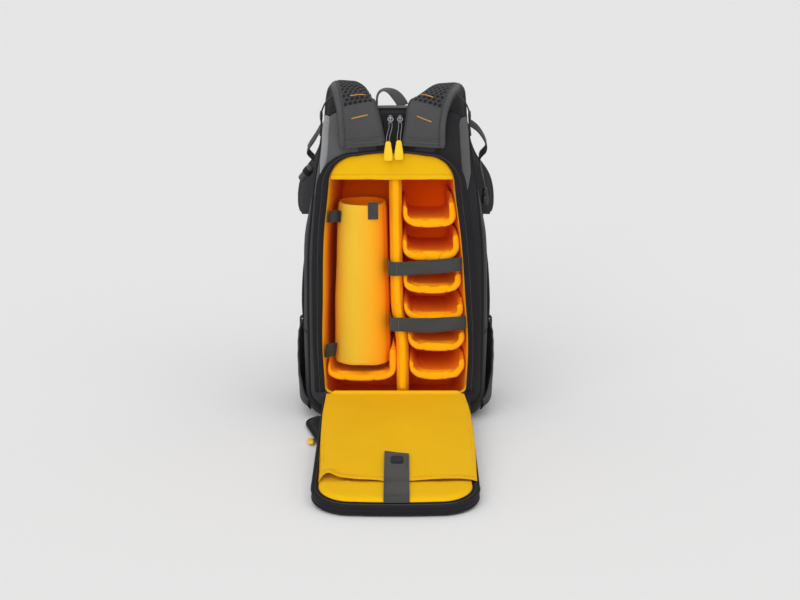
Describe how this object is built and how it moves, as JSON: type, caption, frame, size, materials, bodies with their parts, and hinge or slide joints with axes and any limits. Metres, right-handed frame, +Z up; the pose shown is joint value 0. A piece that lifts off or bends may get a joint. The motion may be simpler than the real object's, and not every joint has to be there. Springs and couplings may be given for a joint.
{
  "type": "camera backpack",
  "caption": "Camera backpack standing upright with its harness-side panel unzipped and lying forward, showing a padded yellow compartment with dividers.",
  "frame": {"origin": "centre of the flat base, on the surface that the bag stands on", "axes": "+Z up; -Y out of the harness side, where the opened panel lies; +X to the right seen from the harness side"},
  "size_m": [0.344, 0.6361, 0.5567],
  "materials": {
    "shell_fabric": "matte woven nylon",
    "rim_fabric": "matte",
    "lining_yellow": "soft brushed lining",
    "webbing_grey": "woven webbing",
    "webbing_black": "woven webbing",
    "pad_mesh": "air mesh",
    "pocket_stretch": "stretch weave",
    "hard_black": "moulded",
    "zip_metal": "satin",
    "cord_grey": "braided",
    "pull_yellow": "moulded rubbery"
  },
  "bodies": {
    "root": {"body_shell": "shell_fabric", "liner": "lining_yellow", "opening_rim": "rim_fabric", "centre_divider": "lining_yellow", "shelf_1": "lining_yellow", "shelf_2": "lining_yellow", "shelf_3": "lining_yellow", "shelf_4": "lining_yellow", "shelf_5": "lining_yellow", "shelf_6": "lining_yellow", "shelf_left": "lining_yellow", "lens_wrap": "lining_yellow", "wrap_tab": "webbing_grey", "wrap_strap_upper": "webbing_black", "wrap_strap_lower": "webbing_black", "gear_strap_upper": "webbing_grey", "gear_strap_lower": "webbing_grey", "top_valance": "lining_yellow", "flap_panel": "rim_fabric", "flap_lining": "lining_yellow", "laptop_sleeve": "lining_yellow", "sleeve_tab": "webbing_grey", "tab_badge": "hard_black", "shoulder_strap_left": "pad_mesh", "shoulder_strap_right": "pad_mesh", "strap_webbing_left": "webbing_black", "strap_webbing_right": "webbing_black", "ladder_lock_left": "hard_black", "ladder_lock_right": "hard_black", "load_lifter_left": "webbing_black", "load_lifter_right": "webbing_black", "grab_handle": "webbing_grey", "zip_slider_left": "zip_metal", "zip_slider_right": "zip_metal", "pull_cord_left": "cord_grey", "pull_cord_right": "cord_grey", "zip_pull_left": "pull_yellow", "zip_pull_right": "pull_yellow", "side_pocket_left": "pocket_stretch", "side_pocket_right": "pocket_stretch", "compression_strap_left": "webbing_black", "compression_strap_right": "webbing_black", "side_buckle_left": "webbing_black", "side_buckle_right": "hard_black", "hip_belt_left": "rim_fabric", "hip_belt_right": "rim_fabric", "belt_tip": "pull_yellow"}
  },
  "joints": []
}
